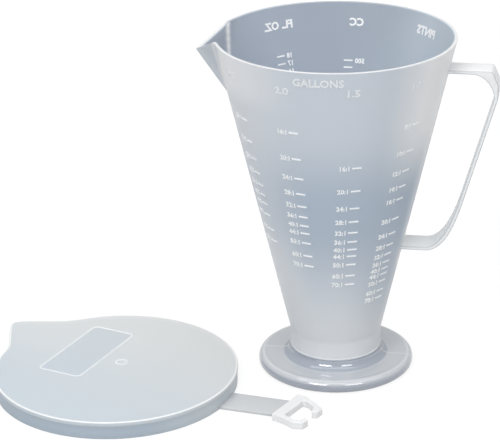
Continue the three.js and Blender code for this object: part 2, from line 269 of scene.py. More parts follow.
def studio_world():
    """White where it is seen, and a dimmer light for the object."""
    paint = Paint(bpy.data.worlds.new("studio"))
    light = {"Color": WORLD_TINT, "Strength": WORLD_STRENGTH}
    shares = {0: paint.rays("Is Camera Ray", "Is Transmission Ray"),
              1: paint.node("ShaderNodeBackground", {}, light),
              2: paint.node("ShaderNodeBackground", {}, {"Color": WHITE})}
    return paint.finish(paint.node("ShaderNodeMixShader", {}, shares), "ShaderNodeOutputWorld")


floor = flat_square("floor", FLOOR_HALF, FLOOR_LEVEL)
floor.data.materials.append(white_floor())
bpy.context.scene.world = studio_world()
print("floor", 2 * FLOOR_HALF, "m wide, world light", WORLD_STRENGTH)

# %% Soft panels
FRONT_AIM = (0.03, 0.02, 0.06)
PANELS = [  # name, place, aim, width and height in metres, power in watts
    ("panel_over", (0.05, 0.1, 1.4), (0.0, 0.0, 0.0), 1.4, 1.4, 9.0),
    ("panel_left", (-0.35, -1.0, 0.95), FRONT_AIM, 0.6, 0.45, 6.6),
    ("panel_right", (0.75, -0.9, 0.95), FRONT_AIM, 0.6, 0.45, 3.4),
]


def soft_panel(name, place, aim, width, height, power):
    """A rectangular lamp at place that faces the point aim."""
    lamp = bpy.data.lights.new(name, "AREA")
    lamp.shape = "RECTANGLE"
    lamp.size, lamp.size_y = width, height
    lamp.energy = power
    panel = linked(name, lamp)
    facing = (Vector(aim) - Vector(place)).to_track_quat("-Z", "Y")
    panel.matrix_world = facing.to_matrix().to_4x4()
    panel.location = place


for panel in PANELS:
    soft_panel(*panel)

# %% [markdown]
# ## Closed shells from a grid
#
# Cup and lid are both a profile that is carried round an upright axis while its radius follows the
# outline. Such a shape is one grid: a row for each station of the profile and a column for each
# direction. Computing the grid as an array keeps each formula in one place, where a stack of
# primitives would have to be joined. The helper closes the grid round the axis and at both ends.

# %% Meshes and finished pieces
def mesh_of(name, points, centre, faces):
    """A mesh from points in millimetres about centre."""
    mesh = bpy.data.meshes.new(name)
    mesh.from_pydata((points + np.array(centre)) * MM, [], faces)
    return mesh


def volume_inside(mesh):
    """A sixth of the sum of a . (b x c) over all triangles, in millilitres. It is positive when
    the faces look outward."""
    mesh.calc_loop_triangles()
    corners = np.empty(len(mesh.loop_triangles) * 3, np.int32)
    mesh.loop_triangles.foreach_get("vertices", corners)
    points = np.empty(len(mesh.vertices) * 3)
    mesh.vertices.foreach_get("co", points)
    a, b, c = points.reshape(-1, 3)[corners.reshape(-1, 3)].transpose(1, 0, 2)
    return float((a * np.cross(b, c)).sum() / 6 / MM ** 2)


def finished(name, mesh, sharp=35.0):
    """An object for the mesh, smooth but for edges that turn by more than sharp degrees."""
    mesh.polygons.foreach_set("use_smooth", np.ones(len(mesh.polygons), bool))
    mesh.set_sharp_from_angle(angle=math.radians(sharp))
    volume = round(volume_inside(mesh), 2)
    print(name, "has", len(mesh.polygons), "faces and holds", volume, "ml")
    return linked(name, mesh)


# %% A grid to a closed mesh
def grid_quads(index):
    """Quads between neighbours in a grid of point numbers whose last column joins the first."""
    ahead = np.roll(index, -1, axis=1)
    return np.stack([index[:-1], ahead[:-1], ahead[1:], index[1:]], axis=-1).reshape(-1, 4)


def closed_shell(name, grid, centre, masks=None):
    """grid is rows x columns x 3 in millimetres about centre. Its last column joins the first, and
    a fan closes each end row. masks gives one 0 to 1 value for each grid point."""
    rows, columns, _ = grid.shape
    index = np.arange(rows * columns).reshape(rows, columns)
    ahead = np.roll(index, -1, axis=1)
    first, last = rows * columns, rows * columns + 1
    start = np.stack([np.full(columns, first), ahead[0], index[0]], axis=-1)
    end = np.stack([index[-1], ahead[-1], np.full(columns, last)], axis=-1)
    points = np.vstack([grid.reshape(-1, 3), grid[0].mean(0), grid[-1].mean(0)])
    faces = grid_quads(index).tolist() + start.tolist() + end.tolist()
    mesh = mesh_of(name, points, centre, faces)
    for key, values in (masks or {}).items():
        spread = np.concatenate([values.ravel(), [values[0].mean(), values[-1].mean()]])
        layer = mesh.attributes.new(key, "FLOAT", "POINT")
        layer.data.foreach_set("value", spread.astype(np.float32))
    return finished(name, mesh)


print("a grid of 3 rows and 4 columns has", len(grid_quads(np.arange(12).reshape(3, 4))), "quads")

# %% [markdown]
# ## The cup's wall
#
# The cone widens evenly to the rim. The spout is two upright flat sides that meet in a keel, and
# the moulder rounds the line where they leave the cone. For each direction the radius of the cone
# and of the flat side are both known, so the wall is the larger of the two, with a small parabola
# over the place where they are equal. The lip is level, then runs straight down to the tip.

# %% Sizes of the cup, in millimetres
RIM_HEIGHT, RIM_RADIUS = 169.5, 57.6
CONE_HEIGHT, CONE_RADIUS = 21.1, 22.7
HANDLE_REACH = 77.4
WALL = 1.8
SLOPE = (RIM_RADIUS - CONE_RADIUS) / (RIM_HEIGHT - CONE_HEIGHT)
SIDE_ANGLE = math.radians(90 - 41.5)
KEEL_AT_RIM, KEEL_SLOPE, SPOUT_DIP, SPOUT_BLEND = 74.3, 0.71, 9.0, 2.4
CONE_INSET = WALL * math.hypot(1, SLOPE)
SIDE_INSET = WALL * math.hypot(1, KEEL_SLOPE * math.cos(SIDE_ANGLE))
KEEL_ROUND, SPOUT_SECTOR, SIDE_TURNS = 0.012, 1.0, (-1.2, 0.6)  # all in radians

cup_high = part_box("cup")[1]
CUP_AT = (cup_high.x / MM - HANDLE_REACH, cup_high.y / MM - RIM_RADIUS, 0.0)
print("the cup's axis is at", [round(v, 3) for v in CUP_AT], "mm")

# %% Directions round the cup, close together near the spout
near = np.concatenate([np.arange(0, 20, 0.25), np.arange(20, 36, 0.5), np.arange(36, 180, 1.5)])
turns = np.radians(np.concatenate([near, 360 - near[:0:-1]]) + 180)
away = np.abs(turns % (2 * math.pi) - math.pi)
print(len(turns), "directions, each with its angle away from the spout's middle")


# %% The wall's radius and the lip's height
def cone_radius(height):
    return CONE_RADIUS + SLOPE * (height - CONE_HEIGHT)


def flat_side(distance, rounding):
    """Radius of the spout's flat side for each direction: its distance from the axis over the
    cosine of the angle to its normal. rounding blunts the keel where both sides meet."""
    soft = np.sqrt(away ** 2 + rounding ** 2)
    side = distance / np.cos(np.clip(soft - SIDE_ANGLE, *SIDE_TURNS))
    return np.where(away < SPOUT_SECTOR, side, 0.0)


def blended_larger(first, second, blend):
    """The larger radius, plus (blend - gap)^2 / (4 blend) where the gap is less than blend."""
    overlap = np.maximum(blend - np.abs(second - first), 0)
    return np.maximum(first, second) + overlap ** 2 / (4 * blend)


def wall_radius(height, cone_inset=0.0, side_inset=0.0):
    """The wall's radius, and how far the flat side stands out from the cone there."""
    cone = cone_radius(height) - cone_inset
    keel = KEEL_AT_RIM - KEEL_SLOPE * (RIM_HEIGHT - height)
    side = flat_side(keel * math.cos(SIDE_ANGLE) - side_inset, KEEL_ROUND)
    return blended_larger(cone, side, SPOUT_BLEND), side - cone


def lip_height():
    """Level at the rim. Between the two corners where the flat sides meet the rim, the height on
    the straight line, seen from above, from that corner to the tip of the spout."""
    tip = KEEL_AT_RIM - KEEL_SLOPE * SPOUT_DIP
    corner = SIDE_ANGLE - math.acos(KEEL_AT_RIM * math.cos(SIDE_ANGLE) / RIM_RADIUS)
    forward, aside = RIM_RADIUS * math.cos(corner), RIM_RADIUS * math.sin(corner)
    slope = np.tan(np.minimum(away, corner))
    return RIM_HEIGHT - SPOUT_DIP + SPOUT_DIP * slope * tip / (aside + slope * (tip - forward))


lip = lip_height()
print("the lip runs from", round(lip.min(), 2), "to", lip.max(), "mm")

# %% [markdown]
# ## The cup's body as one shell
#
# A real moulding has no loose inner and outer skins: the surface runs from under the foot, round
# the foot's edge, up the outside, over the lip, down the inside and across the floor. Following
# that path gives one closed shell with a real wall, which a see-through material needs. Three
# masks go with it: where the surface is inside the cup, where it belongs to the foot, and where an
# edge catches light.

# %% The foot's profile
ARC_STEPS = 10


def arc(centre_r, centre_z, radius_r, radius_z, start, stop):
    """Points (radius, height) on a quarter of an ellipse, from one angle to another in degrees."""
    turn = np.radians(np.linspace(start, stop, ARC_STEPS))
    return np.column_stack([centre_r + radius_r * np.cos(turn),
                            centre_z + radius_z * np.sin(turn)])


def cup_profile():
    """(radius, height): the hollow under the foot, the ring it stands on, the flange, the cove and
    the collar."""
    under = [(6, 7.0), (18.2, 7.0), (19.6, 6.7), (21.0, 5.6), (24.0, 4.3), (26, 4.1),
             (33.4, 4.1), (34.6, 3.1)]
    ring = [(34.6, 0.5), (35.0, 0.0)]
    base = arc(35.8, 2.5, 2.5, 2.5, -90, 0)
    edge = arc(35.6, 3.1, 2.7, 2.8, 0, 90)
    bead = [(34.2, 5.9), (33.6, 5.75), (32.5, 5.7), (27.6, 5.7)]
    cove = arc(26.9, 9.9, 4.7, 4.2, 270, 182)
    collar = [(22.5, 10.3), (22.5, 10.9), (22.15, 11.3), (22.05, 15.0), (22.15, 18.5),
              (22.4, 20.3)]
    return np.vstack([under, ring, base, edge, bead, cove, collar])


print("foot and collar have", len(cup_profile()), "stations")

# %% The rows of the whole shell
LIP_BELOW, LIP_DROP, LIP_CUT, LIP_FLAT = 0.35, 0.12, 0.18, 0.55
OUTER_ROWS, INNER_ROWS = 66, 60
CORNER_SECTOR = 0.6
SUMP = [(20.6, 20.3), (20.3, 19.5), (20.3, 10.0), (19.9, 9.2), (19.1, 8.8), (6, 8.8)]


def wall_rows(shares, insets, within, line_width, line_light):
    """Rows between the collar and the lip. The mask paints a highlight line where the flat side
    leaves
    the cone: line_light times e to the minus square of the side's lead over line_width."""
    rows = []
    for share in shares:
        height = CONE_HEIGHT + share * (lip - LIP_BELOW - CONE_HEIGHT)
        radius, lead = wall_radius(height, *insets)
        line = line_light * np.exp(-(lead / line_width) ** 2) * (away < CORNER_SECTOR)
        rows.append((height, radius, within, line))
    return rows


def cup_rows():
    """Height, radius and the masks inside and edge, each as rows x directions."""
    outer, _ = wall_radius(lip)
    inner, _ = wall_radius(lip, CONE_INSET, SIDE_INSET)
    rows = [(height, radius, 0.0, 0.0) for radius, height in cup_profile()]
    rows += wall_rows(np.linspace(0, 1, OUTER_ROWS), (0.0, 0.0), 0.0, 1.1, 0.85)
    # The lip's rows carry the edge mask: paler and more solid, partly for the thicker plastic and
    # partly as a painted highlight.
    rows += [(lip - LIP_DROP, outer - LIP_CUT, 0.0, 1.0), (lip, outer - LIP_FLAT, 0.0, 1.0),
             (lip, inner + LIP_FLAT, 0.6, 0.4), (lip - LIP_DROP, inner + LIP_CUT, 1.0, 0.1)]
    rows += wall_rows(np.linspace(1, 0, INNER_ROWS), (CONE_INSET, SIDE_INSET), 1.0, 0.8, 1.0)
    rows += [(height, radius, 1.0, 0.0) for radius, height in SUMP]
    return [np.stack([np.broadcast_to(v, away.shape) for v in column]) for column in zip(*rows)]


heights, radii, inside, edge = cup_rows()
print("the shell has", heights.shape[0], "rows of", heights.shape[1], "points")

# %% Build the cup's body
FOOT_MASK_TOP = 11.0

body_grid = np.stack([radii * np.cos(turns), radii * np.sin(turns), heights], axis=-1)
foot = np.clip(FOOT_MASK_TOP - heights, 0, 1) * (1 - inside)
body_masks = {"inside": inside, "foot": foot, "edge": edge}
cup_body = closed_shell("cup_body", body_grid, CUP_AT, body_masks)

# %% [markdown]
# ## The handle
#
# The handle is a flat strap: a level top arm, a webbed corner, a straight leaning grip, a wide
# bend and a level lower arm. Its outer and inner edges are two curves in the upright plane of the
# handle. They are sampled at the same stations, and at each station a rounded rectangle is laid
# between them, so the strap gets thicker only where the web fills the corner.

# %% Sizes of the handle, and two kinds of curve
HANDLE_TOP, HANDLE_BOTTOM, STRAP = 156.3, 64.9, 1.8
GRIP_TOP, GRIP_BOTTOM = 142.8, 92.0
LEAN_ANGLE = math.radians(16.3)
LEAN, ACROSS = math.tan(LEAN_ANGLE), STRAP / math.cos(LEAN_ANGLE)
WEB, WEB_PULL_OUT, WEB_PULL_UP = 10.5, 0.45, 0.55
ROOT_DEPTH, LOW_ARM_END = 0.9, 44
ARM_STEPS, CORNER_STEPS, GRIP_STEPS = 8, 44, 24


def polyline(points, steps):
    """Points evenly spaced along the straight pieces that join the given ones."""
    points = np.array(points, float)
    travelled = np.concatenate([[0], np.cumsum(np.hypot(*np.diff(points, axis=0).T))])
    at = np.linspace(0, travelled[-1], steps)
    return np.column_stack([np.interp(at, travelled, line) for line in points.T])


def bezier(points, steps):
    """A cubic: the four points weighted by (1-t)^3, 3t(1-t)^2, 3t^2(1-t) and t^3."""
    t = np.linspace(0, 1, steps)
    weights = [(1 - t) ** 3, 3 * t * (1 - t) ** 2, 3 * t ** 2 * (1 - t), t ** 3]
    return np.column_stack(weights) @ np.array(points, float)


print("the leaning grip is", round(ACROSS, 3), "mm through, measured level")

# %% The two edges of the strap
WEB_REACH = HANDLE_REACH - ACROSS
WEB_START = WEB_REACH - WEB


def strap_edge(top, corner, reach, pull, turned_in, low):
    """One edge as (reach, height): top arm, corner, grip, bend and lower arm. The bend is a cubic
    whose first handle runs on down the grip by pull and whose second lies at turned_in."""
    grip_end = reach - LEAN * (GRIP_TOP - GRIP_BOTTOM)
    bend = [(grip_end, GRIP_BOTTOM), (grip_end - LEAN * pull, GRIP_BOTTOM - pull),
            (turned_in, low), (LOW_ARM_END, low)]
    parts = [polyline([(cone_radius(HANDLE_TOP) - ROOT_DEPTH, top), (WEB_START, top)], ARM_STEPS),
             corner, polyline([(reach, GRIP_TOP), (grip_end, GRIP_BOTTOM)], GRIP_STEPS),
             bezier(bend, GRIP_STEPS)]
    arm = [(LOW_ARM_END, low), (cone_radius(HANDLE_BOTTOM) - ROOT_DEPTH, low)]
    return np.vstack([part[:-1] for part in parts] + [polyline(arm, ARM_STEPS)])


def strap_edges():
    """Outer and inner edge. The outer corner is a bevel, and the web hollows the inner one."""
    top, under = HANDLE_TOP, HANDLE_TOP - STRAP
    bevel = [(WEB_START, top), (73.4, top), (74.3, top - 0.2), (74.9, top - 0.8), (77.2, 150.1),
             (HANDLE_REACH, 149.2), (HANDLE_REACH, GRIP_TOP)]
    web = [(WEB_START, under), (WEB_REACH - WEB_PULL_OUT * WEB, under),
           (WEB_REACH, GRIP_TOP + WEB_PULL_UP * WEB), (WEB_REACH, GRIP_TOP)]
    outer = strap_edge(top, polyline(bevel, CORNER_STEPS), HANDLE_REACH, 16, 53, HANDLE_BOTTOM)
    inner = strap_edge(under, bezier(web, CORNER_STEPS), WEB_REACH, 14.2, 51.2,
                       HANDLE_BOTTOM + STRAP)
    return outer, inner


print("the strap's edges have", [len(line) for line in strap_edges()], "stations")

# %% The section, laid between the edges
TOP_WIDTH, LOW_WIDTH, STRAP_SOFT = 12.8, 15.0, 0.55
# How much each point round a corner of the strap's section gets of the painted shade along its
# rims.
CORNER_SHADE = [0.0, 1.0, 1.0, 1.0, 0.0]


def rounded_section(half_thick, half_wide, soft):
    """Offsets (through, across) round a rectangle whose corners are quarter circles of radius
    soft."""
    turn = np.radians(np.linspace(0, 90, len(CORNER_SHADE)))
    quarter = np.column_stack([np.cos(turn), np.sin(turn)]) * soft
    pieces = []
    for sign_thick, sign_wide, angle in [(1, 1, 0), (-1, 1, 90), (-1, -1, 180), (1, -1, 270)]:
        c, s = math.cos(math.radians(angle)), math.sin(math.radians(angle))
        corner = np.array([sign_thick * (half_thick - soft), sign_wide * (half_wide - soft)])
        pieces.append(quarter @ np.array([(c, s), (-s, c)]) + corner)
    return np.vstack(pieces)


def strap_grid():
    """Rows along the strap and columns round its section, which widens a little downwards."""
    outer, inner = strap_edges()
    middle, half = (outer + inner) / 2, (outer - inner) / 2
    thick = np.hypot(half[:, 0], half[:, 1])
    share = np.clip((middle[:, 1] - HANDLE_BOTTOM) / (HANDLE_TOP - HANDLE_BOTTOM), 0, 1)
    wide = 0.5 * (LOW_WIDTH + (TOP_WIDTH - LOW_WIDTH) * share)
    through, across = rounded_section(STRAP / 2, TOP_WIDTH / 2, STRAP_SOFT).T
    through = np.sign(through) * (1 - (STRAP / 2 - np.abs(through)) / thick[:, None])
    across = np.sign(across) * (wide[:, None] - (TOP_WIDTH / 2 - np.abs(across)))
    flat = middle[:, None, :] + half[:, None, :] * through[:, :, None]
    rims = np.broadcast_to(np.tile(CORNER_SHADE, 4), across.shape)
    return np.stack([flat[..., 0], across, flat[..., 1]], axis=-1), rims


handle_grid, handle_rims = strap_grid()
handle = closed_shell("cup_handle", handle_grid[:, ::-1], CUP_AT, {"edge": handle_rims[:, ::-1]})
reaches = handle_grid[..., 0]
print("handle spans", reaches.min().round(2), "to", reaches.max().round(2), "mm")

# %% [markdown]
# ## The raised scale
#
# Each mark stands at the height that the liquid reaches for its volume: a cylinder in the collar
# and a cone above it. Marks are small bars with slanting edges. The characters are Blender text,
# made a mesh once for each word, then wrapped: text x becomes an angle round the cone and text y a
# way up its side.

# %% Height of the liquid for a volume
SUMP_RADIUS, FLOOR_TOP = 20.3, 8.8
OUNCE, MILLILITRE, OUNCES_IN_GALLON = 29573.5, 1000.0, 128
MOST_OUNCES = 16.2
RATIOS = [8, 10, 12, 14, 16, 20, 24, 28, 32, 36, 40, 44, 50, 60, 70]
FIRST_COLUMN, COLUMN_STEP = -140, 35
OUNCE_COLUMN, CC_COLUMN, PINT_COLUMN = 130, 90, 50


def fill_height(volume):
    """The cone's part of the volume is pi/(3 slope) times the difference of two cubed radii."""
    sump = math.pi * SUMP_RADIUS ** 2 * (CONE_HEIGHT - FLOOR_TOP)
    base = CONE_RADIUS - CONE_INSET
    radius = np.cbrt((volume - sump) * 3 * SLOPE / math.pi + base ** 3)
    return float(CONE_HEIGHT + (radius - base) / SLOPE)


def scale_entries():
    """(column angle in degrees, volume, label) for every mark, front columns first. Only the last
    front column, for one gallon, has ratios below 16."""
    entries = []
    for place, gallons in enumerate([2.5, 2.0, 1.5, 1.0]):
        for ratio in RATIOS:
            ounces = gallons * OUNCES_IN_GALLON / ratio
            if ounces <= MOST_OUNCES and (gallons == 1.0 or ratio >= 16):
                column = FIRST_COLUMN + COLUMN_STEP * place
                entries.append((column, ounces * OUNCE, f"{ratio}:1"))
    entries += [(OUNCE_COLUMN, n * OUNCE, str(n)) for n in range(1, 19)]
    entries += [(CC_COLUMN, n * MILLILITRE, str(n) if n % 50 == 0 else "")
                for n in range(25, 501, 25)]
    entries += [(PINT_COLUMN, n * 4 * OUNCE, {2: "1/2", 4: "1"}.get(n, "")) for n in range(1, 5)]
    return entries


print("the scale has", len(scale_entries()), "marks")

# %% Words, bars and a wrap onto the cone
CONE_TILT = math.atan(SLOPE)
TEXT_MIDDLE, BAR_SLANT = 0.36, 0.12
word_meshes = {}


def on_cone(flat, angle, height, lift):
    """flat is points (x along the wall, y up it, z out of it) in millimetres. x over the radius is
    an angle, y climbs the slope, and z leaves it at a right angle."""
    out = flat[:, 2] + lift
    up = height + flat[:, 1] * math.cos(CONE_TILT)
    radius = cone_radius(up) + out * math.cos(CONE_TILT)
    up = up - out * math.sin(CONE_TILT)
    turn = math.radians(angle) + flat[:, 0] / cone_radius(height)
    return np.column_stack([radius * np.cos(turn), radius * np.sin(turn), up])


def word(text, size, relief, bold):
    """Points and triangles of a word, centred on its height, with its left edge at x = 0."""
    key = (text, size, relief, bold)
    if key not in word_meshes:
        curve = bpy.data.curves.new("word", "FONT")
        curve.body, curve.size, curve.extrude = text, size, relief / 2
        curve.resolution_u, curve.offset = 2, bold * size
        holder = linked("word", curve)
        solved = holder.evaluated_get(bpy.context.evaluated_depsgraph_get())
        mesh = bpy.data.meshes.new_from_object(solved)
        points = np.empty(len(mesh.vertices) * 3)
        mesh.vertices.foreach_get("co", points)
        mesh.calc_loop_triangles()
        triangles = np.empty(len(mesh.loop_triangles) * 3, np.int32)
        mesh.loop_triangles.foreach_get("vertices", triangles)
        points = points.reshape(-1, 3)
        points[:, 0] -= points[:, 0].min()
        points[:, 1] -= TEXT_MIDDLE * size
        word_meshes[key] = (points, triangles.reshape(-1, 3))
        bpy.data.objects.remove(holder)
        bpy.data.meshes.remove(mesh)
    return word_meshes[key]


def bar(length, wide, relief):
    """A mark: a flat bar whose long edges and ends are cut back at the top, about its middle."""
    x, y, z = length / 2, wide / 2, relief / 2
    ring = np.array([(-x, -y), (x, -y), (x, y), (-x, y)])
    levels = [(ring, -z), (ring, z - BAR_SLANT), (ring - np.sign(ring) * BAR_SLANT, z)]
    points = np.vstack([np.column_stack([flat, np.full(4, level)]) for flat, level in levels])
    quads = np.vstack([grid_quads(np.arange(12).reshape(3, 4)), [(8, 9, 10, 11), (3, 2, 1, 0)]])
    return points, np.vstack([quads[:, [0, 1, 2]], quads[:, [0, 2, 3]]])


def gathered(name, parts):
    """One mesh from many (points, triangles) parts in millimetres about the cup's axis."""
    starts = np.cumsum([0] + [len(points) for points, _ in parts[:-1]])
    points = np.vstack([points for points, _ in parts])
    faces = np.vstack([triangles + start for (_, triangles), start in zip(parts, starts)])
    return finished(name, mesh_of(name, points, CUP_AT, faces.tolist()), sharp=30.0)


print("a bar has", len(bar(4.0, 1.0, 1.0)[1]), "triangles")

# %% Marks, numbers and unit words
MARK_LENGTH, MARK_WIDTH, MARK_DEPTH = 4.6, 0.75, 1.0
NUMBER_SIZE, NUMBER_GAP = 3.3, 1.2
PROUD, CHARACTER_PROUD, SHOWS_INSIDE = 0.4, 0.25, 0.05
FRONT_BOLD, BACK_BOLD = 0.03, 0.045
HEADINGS = [  # word, angle in degrees, height, size, how much it is widened
    ("GALLONS", -90.5, 164.3, 5.3, 1.0),
    ("2.5", -143.7, 159, 4.6, 1.25),
    ("2.0", -108.7, 159, 4.6, 1.25),
    ("1.5", -73.7, 159, 4.6, 1.25),
    ("1.0", -39.6, 158, 4.6, 1.25),
    ("FL. OZ.", 129.4, 160.1, 5.4, 1.0),
    ("CC", 86, 159.6, 5.2, 1.0),
    ("PINTS", 42.3, 161.1, 5.6, 1.0),
]
marks, numbers, back_scale = [], [], []


def relief_depth(angle):
    """A mark at the back reaches through the wall and just shows on the inside."""
    return PROUD + WALL + SHOWS_INSIDE if angle > 0 else MARK_DEPTH


def put(shape, angle, height, proud, front):
    """Wrap a shape onto the cone so that its top stands proud, and add it to its group. Whatever
    stands at the back goes into one group."""
    points, faces = shape
    lift = proud - relief_depth(angle) / 2
    group = back_scale if angle > 0 else front
    group.append((on_cone(points, angle, height, lift), faces))


def put_word(text, size, angle, height, widen, slide):
    """slide gives the shift to the left from the word's width. In front, characters stand a little
    less proud than the marks, so that they cast no hard edge."""
    bold, proud = (BACK_BOLD, PROUD) if angle > 0 else (FRONT_BOLD, CHARACTER_PROUD)
    points, faces = word(text, size, relief_depth(angle), bold)
    moved = (points - [slide(points[:, 0].max()), 0, 0]) * [widen, 1, 1]
    put((moved, faces), angle, height, proud, numbers)


for column, volume, label in scale_entries():
    height = fill_height(volume)
    put(bar(MARK_LENGTH, MARK_WIDTH, relief_depth(column)), column, height, PROUD, marks)
    if label:
        put_word(label, NUMBER_SIZE, column, height, 1.0,
                 lambda width: MARK_LENGTH / 2 + NUMBER_GAP + width)
for text, angle, height, size, widen in HEADINGS:
    put_word(text, size, angle, height, widen, lambda width: width / 2)

scale_marks = gathered("scale_marks", marks)
scale_numbers = gathered("scale_numbers", numbers)
scale_back = gathered("scale_back", back_scale)
print(len(marks), "marks and", len(numbers), "words in front,", len(back_scale), "at the back")

# %% [markdown]
# ## The lid
#
# Seen from above the lid is a teardrop: a circle and two straight sides that meet in a rounded
# corner over the spout. Its radius for each direction comes from the same rule as the cup's wall,
# so moving it in or out gives the skirt, the prouder band, the rounded top edge and the hollow.
# Towards the middle the rows shrink to a point.

# %% Sizes and rows of the lid
LID_RADIUS, LID_SIDE, LID_CORNER, LID_BLEND = 59.4, 52.6, 0.03, 3.0
LID_HEIGHT, LID_BAND, LID_PLATE, LID_WALL = 8.8, 1.8, 1.6, 1.5
BAND_PROUD, TOP_ROUND, TOP_DIP, TOP_CROWN = 0.35, 0.7, 0.16, 0.1
LID_TURN = math.radians(146)
LID_AT = (CUP_AT[0] - 103.2, CUP_AT[1] - 39.3, 0.0)


def lid_radius(out):
    """The circle's radius or the straight side's, whichever is larger, moved out by that much."""
    side = flat_side(LID_SIDE + out, LID_CORNER)
    return blended_larger(LID_RADIUS + out, side, LID_BLEND)


def turned(points, angle):
    """Points turned about +Z by an angle in radians."""
    c, s = math.cos(angle), math.sin(angle)
    return points @ np.array([(c, s, 0), (-s, c, 0), (0, 0, 1)])


def lid_rows():
    """(out, height, share, light) from the middle of the underside, down the skirt's inside, round
    its foot, up the outside, over the band and the rounded edge and in to the middle of the top.
    Each row is the outline moved out and shrunk to share."""
    under, band = LID_HEIGHT - LID_PLATE, LID_HEIGHT - LID_BAND
    turn = np.radians(np.linspace(15, 90, 6))
    # The last column marks the rounded top edge, where the lid's plastic paints a highlight.
    rounding = zip(BAND_PROUD + TOP_ROUND * (np.cos(turn) - 1),
                   LID_HEIGHT + TOP_ROUND * (np.sin(turn) - 1), [0, 0, 1, 1, 1, 1])
    skirt = [(-LID_WALL - 0.5, under), (-LID_WALL, under - 0.5), (-LID_WALL, 0.3),
             (-LID_WALL + 0.3, 0.0), (-0.4, 0.0), (-0.1, 0.12), (0.0, 0.4), (0.0, 3.5),
             (0.0, band - 0.1), (0.06, band), (0.3, band + 0.08), (BAND_PROUD, band + 0.3),
             (BAND_PROUD, LID_HEIGHT - TOP_ROUND)]
    groove = [(-0.9, LID_HEIGHT), (-1.5, LID_HEIGHT - 0.12), (-2.4, LID_HEIGHT - TOP_DIP)]
    rows = [(-2.5, under, share, 0) for share in np.linspace(0.05, 0.97, 12)]
    rows += [(out, height, 1, 0) for out, height in skirt]
    rows += [(out, height, 1, light) for out, height, light in rounding]
    rows += [(out, height, 1, 0) for out, height in groove]
    rows += [(-3.0, LID_HEIGHT - TOP_DIP + TOP_CROWN * math.sin(math.pi * share), share, 0)
             for share in np.linspace(0.97, 0.05, 20)]
    return np.array(rows)


out, height, share, light = lid_rows().T[:, :, None]
radius = lid_radius(out) * share
lid_points = np.stack([-np.cos(turns) * radius, -np.sin(turns) * radius,
                       np.broadcast_to(height, radius.shape)], axis=-1)
lid_light = np.broadcast_to(light, radius.shape)
lid_shell = closed_shell("lid_shell", turned(lid_points, LID_TURN), LID_AT, {"edge": lid_light})

# %% [markdown]
# ## Frame, gate ring, strap and clip
#
# The bare frame and the ring round the moulding gate are half-round beads: a section carried along
# a closed path. The strap is a thin rounded bar, and the clip that snaps on the handle is a
# C-shaped outline raised straight up, with a Bevel modifier that softens its edges as the mould
# does.

# %% Beads on top of the lid
BEAD_WIDTH, BEAD_HEIGHT, BEAD_BASE, BEAD_ROOT = 0.9, 0.3, LID_HEIGHT - 0.12, 0.2
FRAME_LENGTH, FRAME_WIDTH, FRAME_CORNER = 53.0, 23.0, 2.5
FRAME_TURN, FRAME_AT = math.radians(72), (-18.2, 15.0)
GATE_RADIUS, GATE_AT = 2.7, (1.5, 5.1)


def bead(name, path, normal):
    """A half-round section carried along a closed path: across is width/2 cos t and up is height
    sin t. Its two feet go down into the plate, and a face between them closes it."""
    turn = np.linspace(0, math.pi, 9)
    across = BEAD_WIDTH / 2 * np.cos(turn)
    up = BEAD_BASE + BEAD_HEIGHT * np.sin(turn)
    up[[0, -1]] -= BEAD_ROOT
    flat = path[None] + normal[None] * across[:, None, None]
    rise = np.broadcast_to(up[:, None, None], flat.shape[:2] + (1,))
    points = np.concatenate([flat, rise], axis=-1).reshape(-1, 3)
    index = np.arange(len(points)).reshape(flat.shape[:2])
    faces = grid_quads(np.vstack([index, index[:1]])).tolist()
    return finished(name, mesh_of(name, points, LID_AT, faces), sharp=70)


def framed_path(length, width, corner):
    """A rounded rectangle and its outward normals, about its own middle."""
    turn = np.radians(np.arange(0, 360, 6) + 3)
    normal = np.column_stack([np.cos(turn), np.sin(turn)])
    return np.sign(normal) * [length / 2 - corner, width / 2 - corner] + corner * normal, normal


c, s = math.cos(FRAME_TURN), math.sin(FRAME_TURN)
spin = np.array([(c, s), (-s, c)])
path, normal = framed_path(FRAME_LENGTH, FRAME_WIDTH, FRAME_CORNER)
lid_frame = bead("lid_frame", path @ spin + FRAME_AT, normal @ spin)
turn = np.radians(np.arange(0, 360, 8))
ring = np.column_stack([np.cos(turn), np.sin(turn)])
lid_gate = bead("lid_gate", ring * GATE_RADIUS + GATE_AT, ring)

# %% The strap
TETHER_ROOT, TETHER_TURN = math.radians(-13.6), math.radians(-9)
TETHER_LENGTH, TETHER_WIDTH, TETHER_THICK = 29.0, 16.0, 1.5
TETHER_SOFT, TETHER_ROWS, INTO_LID, INTO_CLIP = 0.4, 12, 0.9, 0.5
TETHER_AT = (LID_AT[0] + LID_RADIUS * math.cos(TETHER_ROOT),
             LID_AT[1] + LID_RADIUS * math.sin(TETHER_ROOT), 0.0)

section = rounded_section(TETHER_THICK / 2, TETHER_WIDTH / 2, TETHER_SOFT)[::-1]
strap = np.empty((TETHER_ROWS, len(section), 3))
strap[..., 0] = np.linspace(-INTO_LID, TETHER_LENGTH + INTO_CLIP, TETHER_ROWS)[:, None]
strap[..., 1] = section[:, 1]
strap[..., 2] = section[:, 0] + TETHER_THICK / 2
lid_strap = closed_shell("lid_strap", turned(strap, TETHER_TURN), TETHER_AT)

# %% The clip
CLIP = [(0, -12), (5.6, -12.4), (12.8, -14.4), (17.4, -12.6), (18.0, -8.2), (15.6, -7.4),
        (14.6, -10.4), (12.6, -11.4), (5.6, -9.4), (5.6, 7.4), (8, 7.4), (13.2, 4.6), (15.2, -0.6),
        (17.6, 0.4), (17.8, 5.2), (12.6, 8.2), (8.2, 10), (5.6, 12), (0, 12)]
CLIP_HEIGHT, CLIP_TURN = 3.6, math.radians(-14)
CLIP_SOFT, CLIP_STEPS = 0.4 * MM, 3


